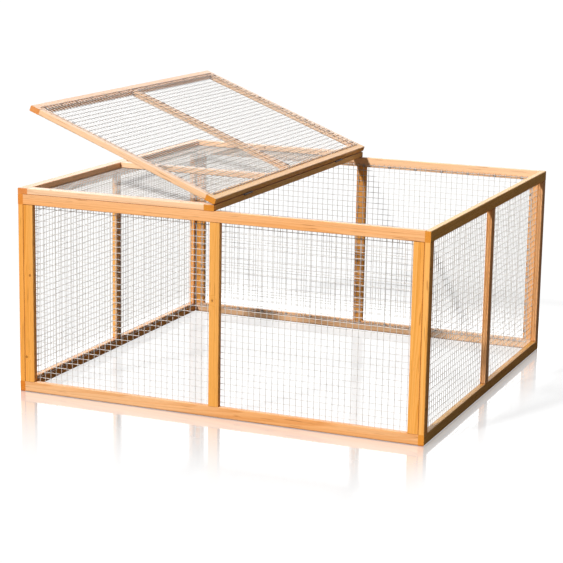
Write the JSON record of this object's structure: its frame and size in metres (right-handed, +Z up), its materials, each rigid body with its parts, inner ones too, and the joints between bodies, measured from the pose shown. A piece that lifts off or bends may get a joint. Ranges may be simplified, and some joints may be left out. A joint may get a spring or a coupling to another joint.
{
  "type": "outdoor rabbit run",
  "caption": "Timber-framed wire mesh run for small pets, open to the ground, with a fixed mesh roof on the left and a hinged mesh lid, thrown open, on the right.",
  "frame": {"origin": "on the ground, in the middle of the run", "axes": "+X along the front from left to right, +Y from the front to the back, +Z up"},
  "size_m": [1.04, 0.98, 0.7039],
  "materials": {
    "rail_timber": "stained fir, satin",
    "stile_timber": "stained fir, satin",
    "dowel_wood": "plain beech",
    "galvanised_wire": "galvanised, dull",
    "staple_steel": "galvanised",
    "hinge_steel": "zinc plated",
    "yellow_zinc_screw": "yellow zinc plated steel"
  },
  "bodies": {
    "run": {"front_top_rail": "rail_timber", "front_bottom_rail": "rail_timber", "front_left_stile": "stile_timber", "front_right_stile": "stile_timber", "front_mid_post": "stile_timber", "front_mesh": "galvanised_wire", "front_dowels": "dowel_wood", "front_staples": "staple_steel", "back_top_rail": "rail_timber", "back_bottom_rail": "rail_timber", "back_left_stile": "stile_timber", "back_right_stile": "stile_timber", "back_mid_post": "stile_timber", "back_mesh": "galvanised_wire", "back_dowels": "dowel_wood", "back_staples": "staple_steel", "left_top_rail": "rail_timber", "left_bottom_rail": "rail_timber", "left_front_stile": "stile_timber", "left_back_stile": "stile_timber", "left_mid_post": "stile_timber", "left_mesh": "galvanised_wire", "left_dowels": "dowel_wood", "left_staples": "staple_steel", "right_top_rail": "rail_timber", "right_bottom_rail": "rail_timber", "right_front_stile": "stile_timber", "right_back_stile": "stile_timber", "right_mid_post": "stile_timber", "right_mesh": "galvanised_wire", "right_dowels": "dowel_wood", "right_staples": "staple_steel", "roof_outer_rail": "rail_timber", "roof_hinge_rail": "rail_timber", "roof_front_rail": "rail_timber", "roof_back_rail": "rail_timber", "roof_mid_rail": "rail_timber", "roof_mesh": "galvanised_wire", "roof_dowels": "dowel_wood", "roof_staples": "staple_steel", "front_hinge_roof_leaf": "hinge_steel", "front_hinge_pin": "hinge_steel", "back_hinge_roof_leaf": "hinge_steel", "back_hinge_pin": "hinge_steel", "roof_hinge_screws": "hinge_steel", "corner_screws": "yellow_zinc_screw", "roof_screws": "yellow_zinc_screw"},
    "lid": {"lid_free_rail": "rail_timber", "lid_hinge_rail": "rail_timber", "lid_front_rail": "rail_timber", "lid_back_rail": "rail_timber", "lid_mid_rail": "rail_timber", "lid_mesh": "galvanised_wire", "lid_dowels": "dowel_wood", "lid_staples": "staple_steel", "front_hinge_lid_leaf": "hinge_steel", "back_hinge_lid_leaf": "hinge_steel", "lid_hinge_screws": "hinge_steel"}
  },
  "joints": [
    {"name": "lid_hinge", "type": "hinge", "parent": "run", "child": "lid", "pos_m": [0, 0, 0.5044], "axis": [0, 1, 0], "range_deg": [0, 158.95]}
  ]
}
